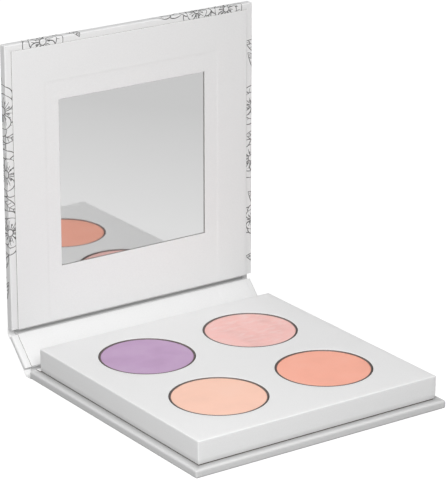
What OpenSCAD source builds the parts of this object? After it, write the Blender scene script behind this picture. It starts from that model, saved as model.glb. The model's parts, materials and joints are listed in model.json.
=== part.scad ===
// Book-style eyeshadow palette: a paper-covered board base, spine and lid joined by two paper
// creases, a raised tray with four lift-out powder pans, and a mirror set in the lid.
// It stands open: the spine leans at half its travel and the lid is upright.
// Origin: centre of the base's underside. +X right, +Y towards the spine, +Z up.

/* [Case] */
// Width of the base, the spine and the lid
case_w = 82.4; // [80:0.1:86]
// Depth of the base from its front edge to its spine edge
base_d = 82.4; // [80:0.1:86]
// Thickness of the base with paper on both faces
base_t = 2.4; // [2:0.05:3]
// Height of the lid from its spine edge to its free edge
lid_h = 82.7; // [80:0.1:86]
// Thickness of the lid with paper on both faces
lid_t = 2.55; // [2.4:0.05:3]
// Bare margin round the tray and round the liner
edge_margin = 2.05; // [1.5:0.05:2.5]
// Bare margin along the free edge of the lid
lid_top_margin = 1.9; // [1.5:0.05:2.5]

/* [Paper] */
// Thickness of the cover paper
wrap_t = 0.15; // [0.1:0.01:0.2]
// Thickness of the liner card
liner_t = 0.25; // [0.2:0.01:0.3]
// Width of the cover paper turned in over the board edges
turn_in = 12; // [8:0.5:14]

/* [Hinge] */
// Distance along the cover from the lower crease to the upper crease
spine_l = 13.4; // [13.2:0.1:15]
// Thickness of the spine with paper on both faces
spine_t = 1.8; // [1.4:0.05:1.8]
// Distance from the base's spine edge to the lower crease
base_gap = 2.6; // [2.5:0.05:3]
// Distance from the lower crease to the spine's board
spine_low_gap = 1.8; // [1.8:0.05:2.4]
// Distance from the spine's board to the upper crease
spine_top_gap = 1.3; // [0.9:0.05:1.5]
// Distance from the upper crease to the lid's board
lid_gap = 2.1; // [2.1:0.05:2.6]
// How far the liner sinks into each crease
crease_sag = 1.7; // [0.8:0.1:1.7]
// Angle of the spine above flat while the palette stands open
spine_angle = 45; // [45]
// Angle of the lid above flat while the palette stands open
lid_angle = 90; // [90]

/* [Tray] */
// Height of the tray above the base, with the liner under it
tray_h = 7.0; // [6.5:0.1:7.2]
// Thickness of the folded tray cover
cover_t = 0.4; // [0.3:0.05:0.5]
// Thickness of the tray's board walls
frame_t = 1.8; // [1.5:0.1:2]
// Thickness of the board under the pans
floor_t = 1.5; // [1:0.1:1.6]
// Thickness of the flexible magnet sheet that holds the pans
magnet_sheet_t = 0.7; // [0.5:0.1:0.8]

/* [Pans] */
// Diameter of each well
well_d = 27; // [26.8:0.1:27.4]
// Distance between neighbouring wells, centre to centre
well_pitch = 34.9; // [33:0.1:36]
// How far the wells sit behind the tray's centre
well_shift = 0.3; // [0:0.1:0.6]
// Outer diameter of each pan
pan_d = 26.4; // [26:0.1:26.4]
// Height of each pan
pan_h = 4.5; // [3.5:0.05:4.5]
// Thickness of the pan's metal
pan_t = 0.3; // [0.2:0.05:0.3]
// Distance from the pan's rim down to the powder
powder_drop = 0.05; // [0.05:0.05:0.4]
// Bevel round the powder's edge
powder_bevel = 0.15; // [0.05:0.05:0.3]

/* [Mirror] */
// Side of the square window in the lid's liner
window_w = 48.8; // [44:0.1:52]
// How far the mirror reaches behind the liner on each side
mirror_lap = 1.8; // [1:0.1:3]
// Thickness of the mirror glass
glass_t = 1.0; // [0.9:0.05:1]
// Thickness of the paint and film on the back of the glass
backing_t = 0.05; // [0.03:0.01:0.08]
// Thickness of the tape that holds the mirror
tape_t = 0.1; // [0.08:0.01:0.12]

/* [Closure] */
// Diameter of the closure magnets
magnet_d = 6; // [5:0.5:6]
// Thickness of the closure magnets
magnet_t = 1.0; // [0.8:0.1:1]
// Distance from the middle to each closure magnet
magnet_x = 31; // [29:0.5:32]
// Distance from the tray's centre forward to the closure magnets
magnet_y = 33.5; // [33:0.1:33.5]

/* [Hidden] */

$fn = 96;
cut = 1;          // how far a cutting solid passes the face it opens
seam = 0.03;      // gap left where a crease meets the spine or the lid
liner_gap = 0.15; // gap between a crease's liner and the edge of a board
fit = 0.1;        // gap round the mirror in its pocket

// Heights in the base and the tray
liner_top = base_t + liner_t;
tray_top = base_t + tray_h;
floor_top = liner_top + floor_t;
sheet_top = floor_top + magnet_sheet_t;
spacer_top = tray_top - cover_t;
tray_w = case_w - 2 * edge_margin;
cavity_w = tray_w - 2 * cover_t;
bay_w = cavity_w - 2 * frame_t;
pan_floor_top = sheet_top + pan_t;
powder_top = sheet_top + pan_h - powder_drop;
powder_r = pan_d / 2 - pan_t;

// Places of the two creases, seen from the side, and the ends of the spine's board
lower_crease = [base_d / 2 + base_gap, 0];
spine_along = [cos(spine_angle), sin(spine_angle)];
spine_in = [-sin(spine_angle), cos(spine_angle)];
upper_crease = lower_crease + spine_l * spine_along;
lid_along = [cos(lid_angle), sin(lid_angle)];
lid_in = [-sin(lid_angle), cos(lid_angle)];
spine_start = spine_low_gap;
spine_end = spine_l - spine_top_gap;
base_in = [0, 1];

// Layers in the lid, counted from its outer face, and places along it from the upper crease
front_board_t = glass_t + backing_t + tape_t;
lid_front = lid_t - wrap_t;
lid_back_t = lid_front - front_board_t - wrap_t;
lid_end = lid_gap + lid_h;
liner_end = lid_end - lid_top_margin;
window_mid = (lid_gap + liner_end) / 2;
mirror_w = window_w + 2 * mirror_lap;
lid_magnet_y = lower_crease[0] + magnet_y;

// Left or right, front or back, for each pan
BACK_LEFT = [-1, 1];
BACK_RIGHT = [1, 1];
FRONT_LEFT = [-1, -1];
FRONT_RIGHT = [1, -1];
CORNERS = [BACK_LEFT, BACK_RIGHT, FRONT_LEFT, FRONT_RIGHT];

// A point on the spine or the lid, seen from the side: s along it, n in from its outer face
function on_spine_at(s, n) = lower_crease + s * spine_along + n * spine_in;
function on_lid_at(s, n) = upper_crease + s * lid_along + n * lid_in;

// Unit normal, to the left of the way from a to b
function left_of(a, b) = [a[1] - b[1], b[0] - a[0]] / norm(b - a);

// Outline of a strip of thickness t that follows the points
function strip(pts, t) = let (
    last = len(pts) - 1,
    side = [for (i = [0 : last]) left_of(pts[max(i - 1, 0)], pts[min(i + 1, last)]) * t / 2]
) concat(
    [for (i = [0 : last]) pts[i] - side[i]],
    [for (i = [last : -1 : 0]) pts[i] + side[i]]
);

// Points along a smooth trough from a to b, which leaves a along out_a and meets b along out_b.
// A cubic curve sinks by three quarters of its handles' length.
function trough(a, out_a, b, out_b, depth, steps = 16) = let (
    handle_a = a + out_a * depth * 4 / 3,
    handle_b = b + out_b * depth * 4 / 3
) [
    for (i = [0 : steps]) let (t = i / steps, u = 1 - t)
        u^3 * a + 3 * u^2 * t * handle_a + 3 * u * t^2 * handle_b + t^3 * b
];

// Outline of cover paper bent once at the corner, its thickness to the left of the way
function bent(a, corner, b, t) = let (
    na = left_of(a, corner),
    nb = left_of(corner, b)
) [a, corner, b, b + nb * t, corner + (na + nb) * t / (1 + na * nb), a + na * t];

// A sheet centred on X, from y0 to y1 and from z0 up by t
module sheet(w, y0, y1, z0, t) {
    translate([-w / 2, y0, z0]) cube([w, y1 - y0, t]);
}

// An outline seen from the side, drawn across the width w
module across(w) {
    rotate([90, 0, 90]) linear_extrude(w, center = true) children();
}

module on_spine() {
    translate([0, lower_crease[0], lower_crease[1]]) rotate([spine_angle, 0, 0]) children();
}

module on_lid() {
    translate([0, upper_crease[0], upper_crease[1]]) rotate([lid_angle, 0, 0]) children();
}

module at_wells() {
    for (c = CORNERS) at_well(c) children();
}

module at_well(c) {
    translate([c[0] * well_pitch / 2, c[1] * well_pitch / 2 + well_shift, 0]) children();
}

module at_magnets(y) {
    for (side = [-1, 1]) translate([side * magnet_x, y, 0]) children();
}

// Cover paper round a board of the whole size: outer face, edges and turned-in borders.
// near and far say whether the paper also wraps the edge at y0 and the edge at y1.
module wrapped(w, y0, y1, t, near, far) {
    in0 = near ? wrap_t : -cut;
    in1 = far ? wrap_t : -cut;
    open0 = near ? turn_in : -cut;
    open1 = far ? turn_in : -cut;
    difference() {
        sheet(w, y0, y1, 0, t);
        sheet(w - 2 * wrap_t, y0 + in0, y1 - in1, wrap_t, t - 2 * wrap_t);
        sheet(w - 2 * turn_in, y0 + open0, y1 - open1, t - 2 * wrap_t, t);
    }
}

// ---- Base ----

module base_board() {
    color("Tan") sheet(
        case_w - 2 * wrap_t, -base_d / 2 + wrap_t, base_d / 2, wrap_t, base_t - 2 * wrap_t
    );
}

module base_wrap() {
    color("WhiteSmoke") wrapped(case_w, -base_d / 2, base_d / 2, base_t, true, false);
}

module base_liner() {
    color("White") sheet(tray_w, -tray_w / 2, base_d / 2, base_t, liner_t);
}

// ---- Tray ----

module tray_frame() {
    color("BurlyWood") difference() {
        sheet(cavity_w, -cavity_w / 2, cavity_w / 2, liner_top, spacer_top - liner_top);
        sheet(bay_w, -bay_w / 2, bay_w / 2, liner_top - cut, tray_top);
    }
}

module tray_floor() {
    color("Tan") sheet(bay_w, -bay_w / 2, bay_w / 2, liner_top, floor_t);
}

module magnet_sheet() {
    color("DimGray") sheet(bay_w, -bay_w / 2, bay_w / 2, floor_top, magnet_sheet_t);
}

module well_spacer() {
    color("Gainsboro") difference() {
        sheet(bay_w, -bay_w / 2, bay_w / 2, sheet_top, spacer_top - sheet_top);
        at_wells() translate([0, 0, sheet_top - cut]) cylinder(h = tray_h, d = well_d);
        at_magnets(-magnet_y) translate([0, 0, spacer_top - magnet_t])
            cylinder(h = magnet_t + cut, d = magnet_d);
    }
}

module tray_magnets() {
    color("Silver") at_magnets(-magnet_y) translate([0, 0, spacer_top - magnet_t])
        cylinder(h = magnet_t, d = magnet_d);
}

module tray_cover() {
    color("White") difference() {
        sheet(tray_w, -tray_w / 2, tray_w / 2, liner_top, tray_top - liner_top);
        sheet(cavity_w, -cavity_w / 2, cavity_w / 2, liner_top - cut, spacer_top - liner_top + cut);
        at_wells() translate([0, 0, spacer_top - cut]) cylinder(h = cut + tray_h, d = well_d);
    }
}

// ---- Pans ----

module pan(c) {
    color("Silver") at_well(c) difference() {
        translate([0, 0, sheet_top]) cylinder(h = pan_h, d = pan_d);
        translate([0, 0, pan_floor_top]) cylinder(h = pan_h, r = powder_r);
    }
}

module powder(c, shade) {
    color(shade) at_well(c) rotate_extrude() polygon([
        [0, pan_floor_top],
        [powder_r, pan_floor_top],
        [powder_r, powder_top - powder_bevel],
        [powder_r - powder_bevel, powder_top],
        [0, powder_top]
    ]);
}

module pan_back_left() { pan(BACK_LEFT); }
module pan_back_right() { pan(BACK_RIGHT); }
module pan_front_left() { pan(FRONT_LEFT); }
module pan_front_right() { pan(FRONT_RIGHT); }

module powder_back_left() { powder(BACK_LEFT, [0.74, 0.63, 0.77]); }
module powder_back_right() { powder(BACK_RIGHT, [0.92, 0.74, 0.73]); }
module powder_front_left() { powder(FRONT_LEFT, [0.96, 0.79, 0.71]); }
module powder_front_right() { powder(FRONT_RIGHT, [0.96, 0.68, 0.61]); }

// ---- Creases ----

module lower_crease_wrap() {
    color("WhiteSmoke") across(case_w) polygon(bent(
        [base_d / 2, 0], lower_crease, on_spine_at(spine_start - seam, 0), wrap_t
    ));
}

module lower_crease_liner() {
    color("White") across(tray_w) polygon(strip(trough(
        [base_d / 2 + liner_gap, base_t + liner_t / 2], -base_in,
        on_spine_at(spine_start - liner_gap, spine_t + liner_t / 2), -spine_in,
        crease_sag
    ), liner_t));
}

module upper_crease_wrap() {
    color("WhiteSmoke") across(case_w) polygon(bent(
        on_spine_at(spine_end, 0), upper_crease, on_lid_at(lid_gap - seam, 0), wrap_t
    ));
}

module upper_crease_liner() {
    color("White") across(tray_w) polygon(strip(trough(
        on_spine_at(spine_end + liner_gap, spine_t + liner_t / 2), -spine_in,
        on_lid_at(lid_gap - liner_gap, lid_t + liner_t / 2), -lid_in,
        crease_sag
    ), liner_t));
}

// ---- Spine ----

module spine_board() {
    color("Tan") on_spine() sheet(
        case_w - 2 * wrap_t, spine_start, spine_end, wrap_t, spine_t - 2 * wrap_t
    );
}

module spine_wrap() {
    color("WhiteSmoke") on_spine()
        wrapped(case_w, spine_start, spine_end, spine_t, false, false);
}

module spine_liner() {
    color("White") on_spine() sheet(tray_w, spine_start, spine_end, spine_t, liner_t);
}

// ---- Lid ----

module lid_back_board() {
    color("Tan") on_lid() sheet(
        case_w - 2 * wrap_t, lid_gap, lid_end - wrap_t, wrap_t, lid_back_t
    );
}

module lid_front_board() {
    color("BurlyWood") on_lid() difference() {
        sheet(
            case_w - 2 * wrap_t, lid_gap, lid_end - wrap_t, lid_front - front_board_t, front_board_t
        );
        sheet(
            mirror_w + 2 * fit, window_mid - mirror_w / 2 - fit, window_mid + mirror_w / 2 + fit,
            lid_front - front_board_t - cut, lid_t
        );
        at_magnets(lid_magnet_y) translate([0, 0, lid_front - magnet_t])
            cylinder(h = magnet_t + cut, d = magnet_d);
    }
}

module lid_wrap() {
    color("WhiteSmoke") on_lid() wrapped(case_w, lid_gap, lid_end, lid_t, false, true);
}

module lid_liner() {
    color("White") on_lid() difference() {
        sheet(tray_w, lid_gap, liner_end, lid_t, liner_t);
        sheet(window_w, window_mid - window_w / 2, window_mid + window_w / 2, lid_t - cut, 2 * cut);
    }
}

module lid_magnets() {
    color("Silver") on_lid() at_magnets(lid_magnet_y) translate([0, 0, lid_front - magnet_t])
        cylinder(h = magnet_t, d = magnet_d);
}

// A square sheet behind the window, from z0 up by t
module behind_window(z0, t) {
    on_lid() sheet(mirror_w, window_mid - mirror_w / 2, window_mid + mirror_w / 2, z0, t);
}

module mirror_glass() {
    color("LightSteelBlue") behind_window(lid_front - glass_t, glass_t);
}

module mirror_backing() {
    color("SlateGray") behind_window(lid_front - glass_t - backing_t, backing_t);
}

module mirror_tape() {
    color("Ivory") behind_window(lid_front - front_board_t, tape_t);
}

base_board();
base_wrap();
base_liner();
tray_frame();
tray_floor();
magnet_sheet();
well_spacer();
tray_magnets();
tray_cover();
pan_back_left();
pan_back_right();
pan_front_left();
pan_front_right();
powder_back_left();
powder_back_right();
powder_front_left();
powder_front_right();
lower_crease_wrap();
lower_crease_liner();
upper_crease_wrap();
upper_crease_liner();
spine_board();
spine_wrap();
spine_liner();
lid_back_board();
lid_front_board();
lid_wrap();
lid_liner();
lid_magnets();
mirror_glass();
mirror_backing();
mirror_tape();
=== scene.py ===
import json
import math
import random

import bpy
from mathutils import Matrix, Vector, noise


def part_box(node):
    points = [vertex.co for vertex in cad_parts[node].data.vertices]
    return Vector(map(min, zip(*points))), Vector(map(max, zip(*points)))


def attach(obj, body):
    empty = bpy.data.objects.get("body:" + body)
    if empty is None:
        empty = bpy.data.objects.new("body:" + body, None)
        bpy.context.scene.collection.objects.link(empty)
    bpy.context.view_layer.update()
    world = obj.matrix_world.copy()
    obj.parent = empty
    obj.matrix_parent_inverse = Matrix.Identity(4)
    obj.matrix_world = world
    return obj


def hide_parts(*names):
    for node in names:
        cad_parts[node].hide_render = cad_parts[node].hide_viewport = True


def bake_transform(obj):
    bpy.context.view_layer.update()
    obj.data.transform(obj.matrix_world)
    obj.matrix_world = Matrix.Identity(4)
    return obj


# Looks of a book-style eyeshadow palette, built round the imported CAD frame. Lengths are in metres.
# A panel (base, spine or lid) has its own frame: x across it, s along it away from the palette's
# front edge, and n inward from its outer face. Sheets are drawn in that frame and then placed.

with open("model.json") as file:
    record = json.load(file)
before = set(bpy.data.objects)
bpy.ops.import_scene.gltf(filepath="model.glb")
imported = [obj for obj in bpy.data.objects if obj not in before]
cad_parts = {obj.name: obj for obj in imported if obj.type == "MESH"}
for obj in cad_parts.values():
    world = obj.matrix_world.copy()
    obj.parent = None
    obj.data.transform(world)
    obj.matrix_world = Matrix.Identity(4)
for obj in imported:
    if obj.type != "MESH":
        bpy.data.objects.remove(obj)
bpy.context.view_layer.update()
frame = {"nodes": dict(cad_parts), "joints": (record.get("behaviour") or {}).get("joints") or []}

MM = 0.001

# Paper, board and mirror
PAPER = 0.15 * MM         # thickness of the cover paper
TURN_IN = 12 * MM         # width of the cover paper turned in over the board edges
EDGE_ROUND = 0.35 * MM    # rounding of the lid's covered edges
BASE_ROUND = 0.6 * MM     # rounding of the base's covered edges
SPINE_ROUND = 0.7 * MM    # the thin spine is rounded almost all the way
SKIN_DEPTH = 0.018 * MM   # how far the paper lies inside the CAD surface, to leave room for ink
COCKLE = 0.02 * MM        # slight waviness of the glued paper
COCKLE_SIZE = 5 * MM      # size of the waves
RIDGE_REACH = 1.2 * MM    # the paper is rougher this near to a fold
RIDGE_SIZE = 0.9 * MM     # size of the roughness there
LINER_ROUND = 0.07 * MM   # rounding of the liner card's cut edges
LINER_SINK = 0.05 * MM    # how far the liner sinks where no turned-in paper lies under it
SINK_REACH = 0.7 * MM     # width of the step down
SEAM_IN = 1.5 * MM        # distance of the paper's lapped seam from a corner
SEAM_DEPTH = 0.11 * MM    # depth of the seams and of the mitre lines at the corners
SEAM_HALF = 0.03 * MM     # half the width of both
MITRE_LENGTH = 3 * MM     # how far the mitre lines run across
CARD_COCKLE = 0.3 * COCKLE  # waviness of the liner card
CARD_COCKLE_SIZE = 6 * MM # size of its waves
MIRROR_ROUND = 0.1 * MM   # rounding of the mirror glass's edges
CREASE_SAG = 2.0 * MM     # how far the liner sinks into each crease
CREASE_ROUND = 0.5 * MM   # radius of the outer paper at a crease
CREASE_GAP = 0.15 * MM    # gap between a crease's liner and the edge of a board
CREASE_REACH = 0.03 * MM  # how far the turned-in paper stands before a board's end in a crease

# Tray and pans
TRAY_ROUND = 0.35 * MM    # rounding of the tray's folded edges
CARD = 0.4 * MM           # thickness of the tray card
LIP_ROUND = 0.12 * MM     # rounding of the tray card at each well
TOP_BAND = 0.1 * MM       # CAD points this near the tray's top belong to its face
TRAY_LIFT = 0.13 * MM     # gap between the tray card's foot and the liner
TRAY_TUCK = 0.25 * MM     # how far the foot of the tray's sides bends inwards
TUCK_HEIGHT = 2.4 * MM    # and over what height
LINER_INSET = 0.5 * MM    # the base liner ends this far inside the tray's outline
CONTACT_SHADE_REACH = 1.6 * MM     # painted contact shade reaches this far from the foot of the tray's sides
CONTACT_SHADE_TONE = 0.71          # share of the paper's tone left at the foot, as painted shade
PAN_CORNER = 0.8 * MM     # radius between the pan's floor and its wall
PAN_LIP = 0.12 * MM       # rounding of the pan's rim
PAN_FLARE = 0.17 * MM     # how far the rim flares out over the wall
FLARE_HEIGHT = 0.5 * MM   # height of the flared part
SHADED_RIM_HEIGHT = 0.45 * MM    # height of the dark band at the rim, painted shade of the gap round the pan
RING_SHARE = 0.6          # radius of the ring pressed in the pan's floor, by the pan's
RING_DEPTH = 0.12 * MM    # depth of that ring
RING_TOP = 0.2 * MM       # half its width where it is deepest
RING_FOOT = 0.5 * MM      # and at the floor
POWDER_SINK = 0.14 * MM   # how far the powder's face lies below its full height
POWDER_BEVEL = 0.15 * MM  # bevel round the powder's face
POWDER_RINGS = 26         # rings of grid on that face
EVEN_RIM = 0.8 * MM       # its unevenness fades out over this width
SWELL = 0.045 * MM        # depth of its broad hollows
SWELL_SIZE = 6 * MM       # size of the broad hollows
PITTING = 0.02 * MM       # depth of its small hollows
PITTING_SIZE = 1.5 * MM   # size of the small hollows

# Printed line art
INK_RISE = 0.012 * MM     # how far the ink stands on the paper
INK_ROOT = 0.03 * MM      # how far its underside is sunk in the paper
INK_TUCK = 2.3 * MM       # how far it runs over the turned-in border
INK_START = 0.2 * MM      # how far from the crease it starts
OUTLINE_INK = 0.27 * MM   # width of a shape's first two lines, which are its outline
VEIN_INK = 0.19 * MM      # width of its other lines
INK_STEP = 0.6 * MM       # length of a step along a line
FOLD_STEP = 0.22 * MM     # length of a step near a fold
FOLD_REACH = 5 * MM       # how near that is
DRAWING_SEED = 7          # of the random turns and bends of the drawing

# Meshes
MERGE = 0.0005 * MM       # grid on which points are taken as the same
LEAST_STEP = 0.02 * MM    # least spacing of a grid
FINE_STEPS = (0, 0.1, 0.2, 0.35, 0.55, 0.9, 1.4, 1.5, 1.6, 2.1)  # close grid near edges, in mm
GRID_STEP = 4 * MM        # grid spacing away from the edges


# ---- Panels and CAD sizes ----

def joint_place(name):
    return Vector(next(j for j in frame["joints"] if j["name"] == name)["pos_m"])


def panel(origin, along):
    """Matrix from a panel's own frame (x, s, n) to the palette's frame."""
    across = Vector((1, 0, 0))
    inward = across.cross(along)
    return Matrix.Translation(origin) @ Matrix((across, along, inward)).transposed().to_4x4()


LOWER = joint_place("spine_hinge")
UPPER = joint_place("lid_hinge")
BASE = panel(Vector((0, 0, 0)), Vector((0, 1, 0)))
SPINE = panel(LOWER, (UPPER - LOWER).normalized())
LID = panel(UPPER, Vector((0, 0, 1)))


def panel_points(node, place):
    """A CAD node's points in a panel's frame."""
    inverse = place.inverted()
    return [inverse @ v.co for v in frame["nodes"][node].data.vertices]


def span(node, place):
    """Lowest and highest corners of a CAD node in a panel's frame."""
    points = panel_points(node, place)
    return [Vector([pick(p[axis] for p in points) for axis in range(3)]) for pick in (min, max)]


# ---- Mesh helpers ----

def add_object(name, data):
    made = bpy.data.objects.new(name, data)
    bpy.context.scene.collection.objects.link(made)
    return made


def make(name, points, faces, look, place=Matrix.Identity(4), sharp=35):
    """A new piece from points and faces in a panel's frame, with coincident points merged."""
    index, merged, renamed = {}, [], []
    for point in points:
        key = tuple(round(c / MERGE) for c in point)
        if key not in index:
            index[key] = len(merged)
            merged.append(place @ Vector(point))
        renamed.append(index[key])
    clean = []
    for face in faces:
        ring = [renamed[i] for i in face]
        ring = [i for k, i in enumerate(ring) if i != ring[k - 1]]
        if len(set(ring)) > 2:
            clean.append(ring)
    mesh = bpy.data.meshes.new(name)
    mesh.from_pydata(merged, [], clean)
    mesh.validate()
    mesh.shade_smooth()
    mesh.set_sharp_from_angle(angle=math.radians(sharp))
    mesh.materials.append(look.material)
    return add_object(name, mesh)


def second_look(piece, look, chosen):
    """Gives another look to the faces that chosen picks."""
    piece.data.materials.append(look.material)
    for face in piece.data.polygons:
        if chosen(face):
            face.material_index = 1


def settle(piece, body, slot, *nodes):
    """The piece rides on a body and stands for CAD nodes, which it hides; slot is not used."""
    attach(piece, body)
    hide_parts(*nodes)


def ticks(low, high, extra=()):
    """Grid places from low to high, close together near both ends and near the extra places."""
    places = {low, high}
    for edge in (low, high, *extra):
        for mm in FINE_STEPS:
            places.update(p for p in (edge - mm * MM, edge + mm * MM) if low <= p <= high)
    count = max(1, round((high - low) / GRID_STEP))
    places.update(low + (high - low) * i / count for i in range(count + 1))
    kept = []
    for p in sorted(places):
        if not kept or p - kept[-1] > LEAST_STEP:
            kept.append(p)
    kept[-1] = high
    return kept


def box_axes(low, high, extra_x=(), extra_y=()):
    return [ticks(low.x, high.x, extra_x), ticks(low.y, high.y, extra_y), ticks(low.z, high.z)]


def box_grid(axes, wanted):
    """Points and outward faces of a box grid, for the cells where wanted(axis, far, centre)."""
    points, faces, index = [], [], {}

    def point(cell):
        if cell not in index:
            index[cell] = len(points)
            points.append(Vector([axes[a][cell[a]] for a in range(3)]))
        return index[cell]

    for a in range(3):
        b, c = (a + 1) % 3, (a + 2) % 3
        for far in (False, True):
            end = len(axes[a]) - 1 if far else 0
            for i in range(len(axes[b]) - 1):
                for j in range(len(axes[c]) - 1):
                    ring = []
                    for m, n in ((i, j), (i + 1, j), (i + 1, j + 1), (i, j + 1)):
                        cell = [0, 0, 0]
                        cell[a], cell[b], cell[c] = end, m, n
                        ring.append(tuple(cell))
                    corners = [Vector([axes[k][cell[k]] for k in range(3)]) for cell in ring]
                    if wanted(a, far, sum(corners, Vector()) / 4):
                        ring = ring if far else ring[::-1]
                        faces.append([point(cell) for cell in ring])
    return points, faces


def thicken(points, inward, faces):
    """Closes a surface into a sheet, by a second surface moved by each point's inward offset."""
    count = len(points)
    closed = [*faces, *([i + count for i in reversed(f)] for f in faces)]
    edges = dict.fromkeys((f[k - 1], i) for f in faces for k, i in enumerate(f))
    for i, j in edges:
        if (j, i) not in edges:
            closed.append([j, i, i + count, j + count])
    return [*points, *(p + d for p, d in zip(points, inward))], closed


def rough(p, size):
    """Smooth noise from 0 to 1 with features of about that size."""
    return 0.5 + 0.5 * max(-1.0, min(1.0, noise.noise(Vector(p) / size)))


class Skin:
    """The paper surface round a board: a box with rounded edges and slight waviness.
    Where it meets a crease its ends aren't rounded, so the paper runs on."""

    def __init__(self, low, high, radius, creases, seed):
        self.low, self.high, self.radius = low, high, radius
        self.creases = creases
        self.seed = Vector((seed, 2.3 * seed, -1.7 * seed))

    def nearest(self, p, axis):
        low, high = self.low[axis] + self.radius, self.high[axis] - self.radius
        return max(low, min(high, p[axis]))

    def gap(self, p, at_crease):
        """Distance along the panel from the nearer of its ends that do, or don't, meet a crease."""
        gaps = {"low": p.y - self.low.y, "high": self.high.y - p.y}
        chosen = [gaps[end] for end in gaps if (end in self.creases) == at_crease]
        return min(chosen, default=TURN_IN)

    def at(self, p):
        """(surface point, outward direction) for a point of the sharp box."""
        from_crease = self.gap(p, at_crease=True)
        direction = Vector()
        for axis in range(3):
            if axis != 1 or from_crease >= self.radius:
                direction[axis] = p[axis] - self.nearest(p, axis)
        if direction.length > 0:
            centre = p - direction
            direction.normalize()
            surface = centre + direction * self.radius
        else:
            surface = p.copy()
        if from_crease <= 0:
            direction.y = 1 if p.y > self.low.y else -1
            return surface - direction * SKIN_DEPTH, direction
        depth = SKIN_DEPTH + COCKLE * rough(p + self.seed * MM, COCKLE_SIZE)
        depth += self.ridge(p) * COCKLE * rough(p - self.seed * MM, RIDGE_SIZE)
        depth += SEAM_DEPTH * self.seam(p)
        return surface - direction * depth, direction

    def ridge(self, p):
        """1 on a folded edge of the paper, falling to 0 beside it."""
        gaps = sorted(min(p[a] - self.low[a], self.high[a] - p[a]) for a in range(3))
        return max(0.0, 1 - gaps[1] / RIDGE_REACH)

    def seam(self, p):
        """1 on a corner's mitre line, or on the lapped seam of a free end, otherwise 0."""
        aside = min(p.x - self.low.x, self.high.x - p.x)
        near = self.gap(p, at_crease=False)
        on_end = near < 0.5 * self.radius and self.low.z < p.z < self.high.z
        lap = on_end and abs(aside - SEAM_IN) < SEAM_HALF
        on_face = p.z == self.high.z and 0 < aside < MITRE_LENGTH
        return 1.0 if lap or (on_face and abs(aside - near) < SEAM_HALF) else 0.0


def cover(name, node, place, look, radius, creases, seed):
    """Cover paper glued round a board: outer face, edges and turned-in borders."""
    low, high = span(node, place)
    low.y -= CREASE_REACH if "low" in creases else 0.0
    high.y += CREASE_REACH if "high" in creases else 0.0
    skin = Skin(low, high, radius, creases, seed)

    def wanted(axis, far, centre):
        in_flap = min(centre.x - low.x, high.x - centre.x) < TURN_IN
        if axis == 1:
            return in_flap or ("high" if far else "low") not in creases
        if axis == 2 and far:
            return in_flap or skin.gap(centre, at_crease=False) < TURN_IN
        return True

    axes = box_axes(low, high, [low.x + TURN_IN, high.x - TURN_IN])
    points, faces = box_grid(axes, wanted)
    surface, outward = zip(*(skin.at(p) for p in points))
    inward = [-d * (PAPER - SKIN_DEPTH) for d in outward]
    return make(name, *thicken(surface, inward, faces), look, place), skin


def smooth(x):
    x = max(0.0, min(1.0, x))
    return x * x * (3 - 2 * x)


def rounding(distance, radius):
    """How far a rounded edge lies below the face, at that distance from the cut."""
    if distance >= radius:
        return 0.0
    return radius - math.sqrt(radius ** 2 - (radius - distance) ** 2)


def inside(p, corners):
    """Distance of a point inside a rectangle's nearest side, negative outside it."""
    (x0, y0), (x1, y1) = corners
    return min(p.x - x0, x1 - p.x, p.y - y0, y1 - p.y)


def card(name, node, place, look, radius=LINER_ROUND, window=None, bare=None, inset=0.0):
    """Flat card with rounded cut edges. window is cut out of it. It sinks over the bare
    board, where no turned-in paper lies under it. inset draws the outline in under the tray."""
    low, high = span(node, place)
    corners = [*(window or ()), *(bare or ())]
    extra = [[c[k] for c in corners if low[k] < c[k] < high[k]] for k in (0, 1)]
    tray_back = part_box("tray_cover")[1].y
    if inset:
        extra[1].append(tray_back - inset)
    axes = box_axes(low, high, *extra)
    axes[2] = [low.z, (low.z + high.z) / 2, high.z]

    def kept(axis, far, centre):
        return not (window and axis == 2 and inside(centre, window) > 0)

    points, faces = box_grid(axes, kept)
    if window:
        lower = {(p.x, p.y): i for i, p in enumerate(points) if p.z == low.z}
        sides = {(f[k - 1], i) for f in faces for k, i in enumerate(f)}
        for i, j in sides:
            if (j, i) not in sides and points[i].z == high.z:
                under = [lower[points[k].x, points[k].y] for k in (i, j)]
                faces.append([j, i, *under])
    outline = ((low.x, low.y), (high.x, high.y))
    for p in points:
        if p.z == high.z:
            edge = inside(p, outline)
            if window:
                edge = min(edge, max(-inside(p, window), 0.0))
            p.z -= rounding(edge, radius)
            if bare:
                p.z -= LINER_SINK * smooth(inside(p, bare) / SINK_REACH)
            p.z -= CARD_COCKLE * rough(p, CARD_COCKLE_SIZE)
    if inset:
        for p in points:
            if p.y < tray_back:
                p.x = max(low.x + inset, min(high.x - inset, p.x))
                p.y = max(low.y + inset, p.y)
    return make(name, points, faces, look, place)


# ---- Looks ----

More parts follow.
